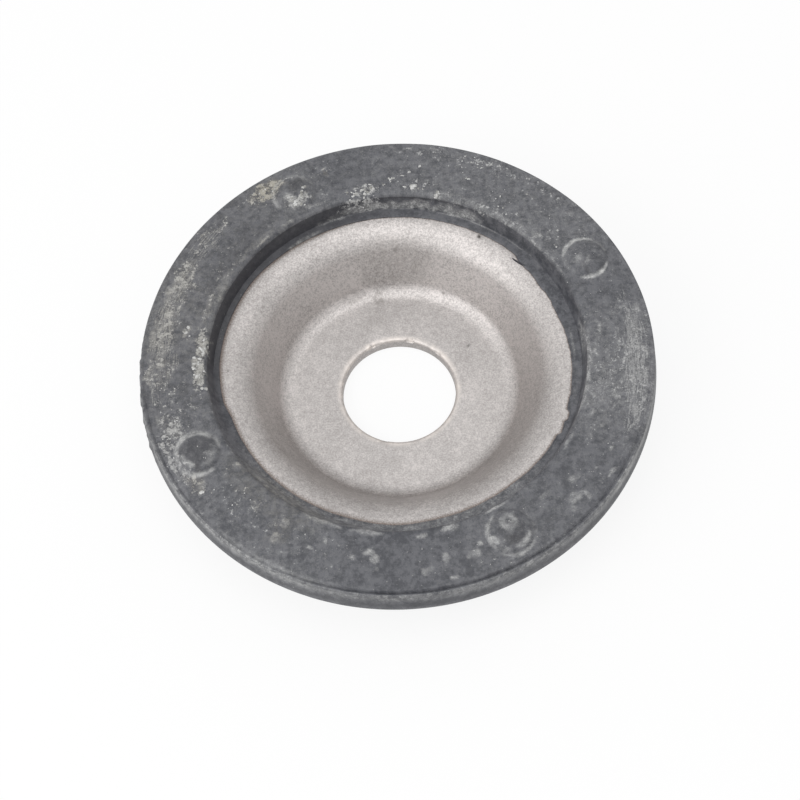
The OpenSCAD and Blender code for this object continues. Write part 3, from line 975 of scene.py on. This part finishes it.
# Lets each spot down on the ring and lays a crumb there, turned and stretched by seeded chance
flake_steps, given, end = new_steps("settled_flakes", [
    ("Spots", "Geometry"), ("Ring", "Object"), ("Fall", "Float"), ("Thinness", "Float"), ("Seed", "Int"),
    ("Finish", "Material")])
ring_below = node(flake_steps, "GeometryNodeObjectInfo", {"Object": given["Ring"]})
landing = node(flake_steps, "GeometryNodeRaycast", {
    "Target Geometry": ring_below.outputs["Geometry"], "Ray Direction": (0, 0, -1),
    "Ray Length": given["Fall"]})
landed = node(flake_steps, "GeometryNodeSetPosition", {
    "Geometry": given["Spots"], "Selection": landing.outputs["Is Hit"],
    "Position": landing.outputs["Hit Position"]})
spread = node(flake_steps, "FunctionNodeRandomValue", {
    "Min": (0.7, 0.5, 1.0), "Max": (1.2, 1.0, 1.0), "Seed": given["Seed"]}, data_type="FLOAT_VECTOR")
facing = node(flake_steps, "FunctionNodeRandomValue", {
    "Min": (-flake_tilt, -flake_tilt, 0), "Max": (flake_tilt, flake_tilt, flake_spin),
    "Seed": given["Seed"]}, data_type="FLOAT_VECTOR")
thin = node(flake_steps, "ShaderNodeCombineXYZ", {"X": 1.0, "Y": 1.0, "Z": given["Thinness"]})
stretched = node(flake_steps, "ShaderNodeVectorMath", {0: spread, 1: thin}, operation="MULTIPLY")
crumb_size = node(flake_steps, "GeometryNodeInputNamedAttribute", {"Name": "size"}, data_type="FLOAT")
grown = node(flake_steps, "ShaderNodeVectorMath", {0: stretched, "Scale": crumb_size}, operation="SCALE")
crumb = node(flake_steps, "GeometryNodeMeshIcoSphere", {"Radius": 1.0, "Subdivisions": 1})
laid = node(flake_steps, "GeometryNodeInstanceOnPoints", {
    "Points": landed, "Instance": crumb, "Rotation": facing, "Scale": grown})
finished(flake_steps, laid, given["Finish"], end)
flakes = shaped("dust_flakes", spot_mesh, flake_steps, {
    "Ring": ring, "Fall": 5 * MM, "Thinness": 0.4, "Seed": 5, "Finish": dried_dust})
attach(flakes, "root")

# Floor: a plain white sheet just under the part. It glows to the camera and in reflections, so that it
# looks like white paper, and it keeps a soft shadow of the part.
floor_half = 1.2
floor_z = -0.02 * MM
floor_corners = [(-floor_half, -floor_half, floor_z), (floor_half, -floor_half, floor_z),
                 (floor_half, floor_half, floor_z), (-floor_half, floor_half, floor_z)]
floor_mesh = new_mesh("floor", floor_corners, faces=[(0, 1, 2, 3)])
floor = new_object("floor", floor_mesh)


def looked_at(tree):
    """1 where the camera sees it, also in a reflection or through glass, and 0 where it only lights."""
    rays = node(tree, "ShaderNodeLightPath").outputs
    return most_of(tree, rays["Is Camera Ray"], rays["Is Glossy Ray"], rays["Is Transmission Ray"])


glow_share = 0.86
paper = bpy.data.materials.new("white_paper")
paper.use_nodes = True
tree = paper.node_tree
tree.nodes.clear()
paper_white = (0.92, 0.92, 0.92, 1)
sheet = node(tree, "ShaderNodeBsdfDiffuse", {"Color": paper_white})
glow = node(tree, "ShaderNodeEmission", {"Color": (1, 1, 1, 1), "Strength": 1.0})
both = node(tree, "ShaderNodeMixShader", {
    0: product_of(tree, looked_at(tree), glow_share), 1: sheet, 2: glow})
node(tree, "ShaderNodeOutputMaterial", {"Surface": both})
floor_mesh.materials.append(paper)

# Studio light: a white tent all round, a large soft lamp overhead and one on the near left.
# The tent is plain white where it is seen, and lights the part less strongly than that.
world = bpy.data.worlds.new("white_tent")
world.use_nodes = True
bpy.context.scene.world = world
tree = world.node_tree
tree.nodes.clear()
tent_light = 0.61
tent_strength = node(tree, "ShaderNodeMapRange", {
    "Value": looked_at(tree), "To Min": tent_light, "To Max": 1.0})
tent = node(tree, "ShaderNodeBackground", {"Color": (1, 1, 1, 1), "Strength": tent_strength})
node(tree, "ShaderNodeOutputWorld", {"Surface": tent})
# Lamps: name, place, width (m), power (W)
lamps = [("overhead_lamp", (0, -0.05, 0.6), 0.5, 1.09), ("left_lamp", (-0.42, -0.24, 0.39), 0.5, 1.38)]
for lamp_name, lamp_place, width, power in lamps:
    lamp_data = bpy.data.lights.new(lamp_name, "AREA")
    lamp_data.shape = "DISK"
    lamp_data.size = width
    lamp_data.energy = power
    aim = (-Vector(lamp_place)).to_track_quat("-Z", "Y")
    lamp = new_object(lamp_name, lamp_data)
    lamp.matrix_world = Matrix.Translation(lamp_place) @ aim.to_matrix().to_4x4()

# Camera: the photograph's view, from above the near side, turned a little about its own axis.
# Its pitch and roll are in radians, and its focal length is in pixels of the photograph.
camera_pitch = 1.0976240766
camera_roll = 0.076359384
camera_far = 197.2586 * MM
camera_down = 5.98149 * MM
focal_px = 1555.7826
frame_px = 800
forward = Vector((0, math.cos(camera_pitch), -math.sin(camera_pitch)))
level = Vector((1, 0, 0))
upward = Vector((0, math.sin(camera_pitch), math.cos(camera_pitch)))
camera_x = level * math.cos(camera_roll) - upward * math.sin(camera_roll)
camera_y = level * math.sin(camera_roll) + upward * math.cos(camera_roll)
camera_place = Vector((0, 0, ring_top)) - forward * camera_far - upward * camera_down
camera_data = bpy.data.cameras.new("camera")
camera_data.sensor_width = 36
camera_data.lens = focal_px / frame_px * camera_data.sensor_width
camera_data.clip_start = 0.005
camera_data.clip_end = 10
camera_turn = Matrix((camera_x, camera_y, -forward)).transposed()
camera = new_object("camera", camera_data)
camera.matrix_world = Matrix.Translation(camera_place) @ camera_turn.to_4x4()
bpy.context.scene.camera = camera
bpy.context.scene.view_settings.view_transform = "Standard"
